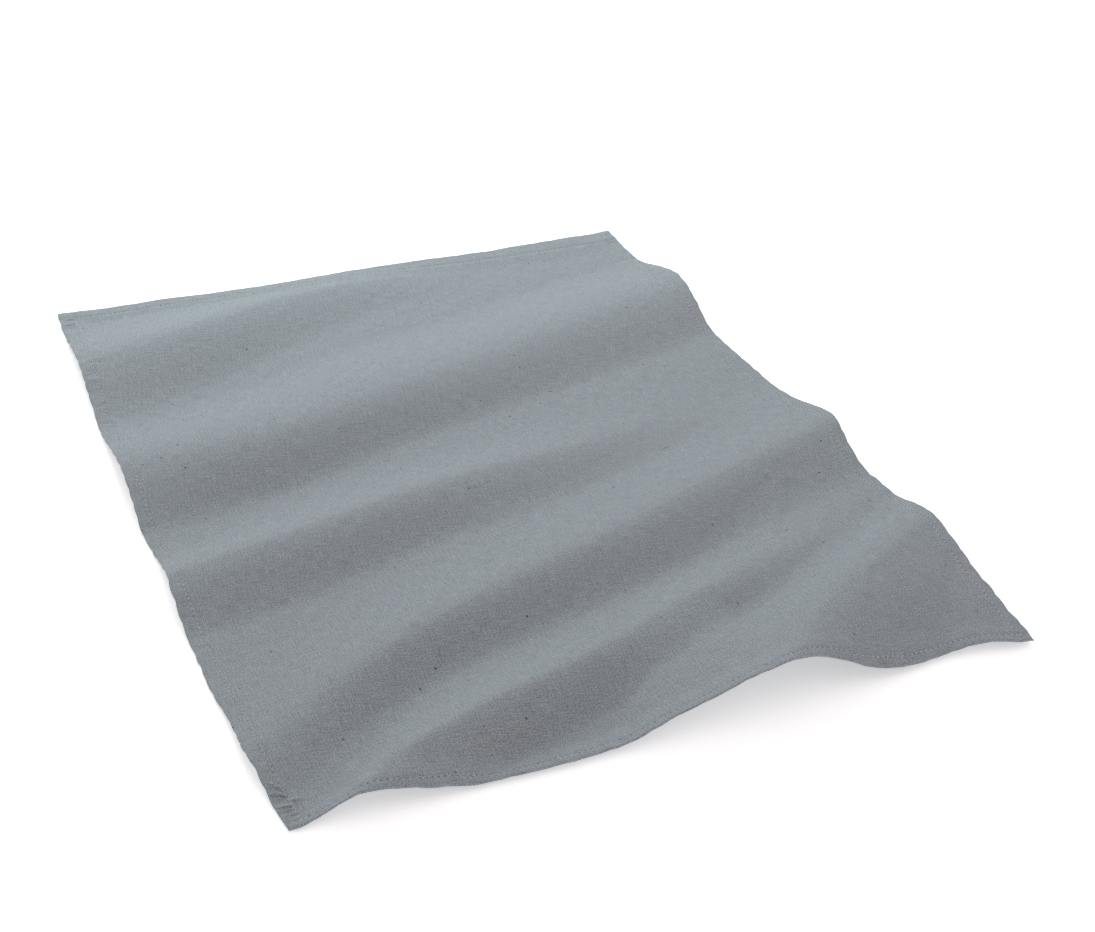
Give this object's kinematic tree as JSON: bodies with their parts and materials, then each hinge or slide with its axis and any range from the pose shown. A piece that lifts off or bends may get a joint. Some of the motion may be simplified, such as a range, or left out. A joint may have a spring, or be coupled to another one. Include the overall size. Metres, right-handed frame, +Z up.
{
  "type": "tea towel",
  "caption": "Plain cotton tea towel laid out open on a surface, its cloth standing in long soft diagonal folds, with a stitched hem all round.",
  "frame": {"origin": "on the surface the towel lies on, under the middle of its box", "axes": "+Z up from the surface, +Y along the towel's long side towards its far edge, +X across it"},
  "size_m": [0.5138, 0.6696, 0.0339],
  "materials": {
    "cloth": "matt plain-weave cotton, blue-grey"
  },
  "bodies": {
    "root": {"towel": "cloth"}
  },
  "joints": []
}
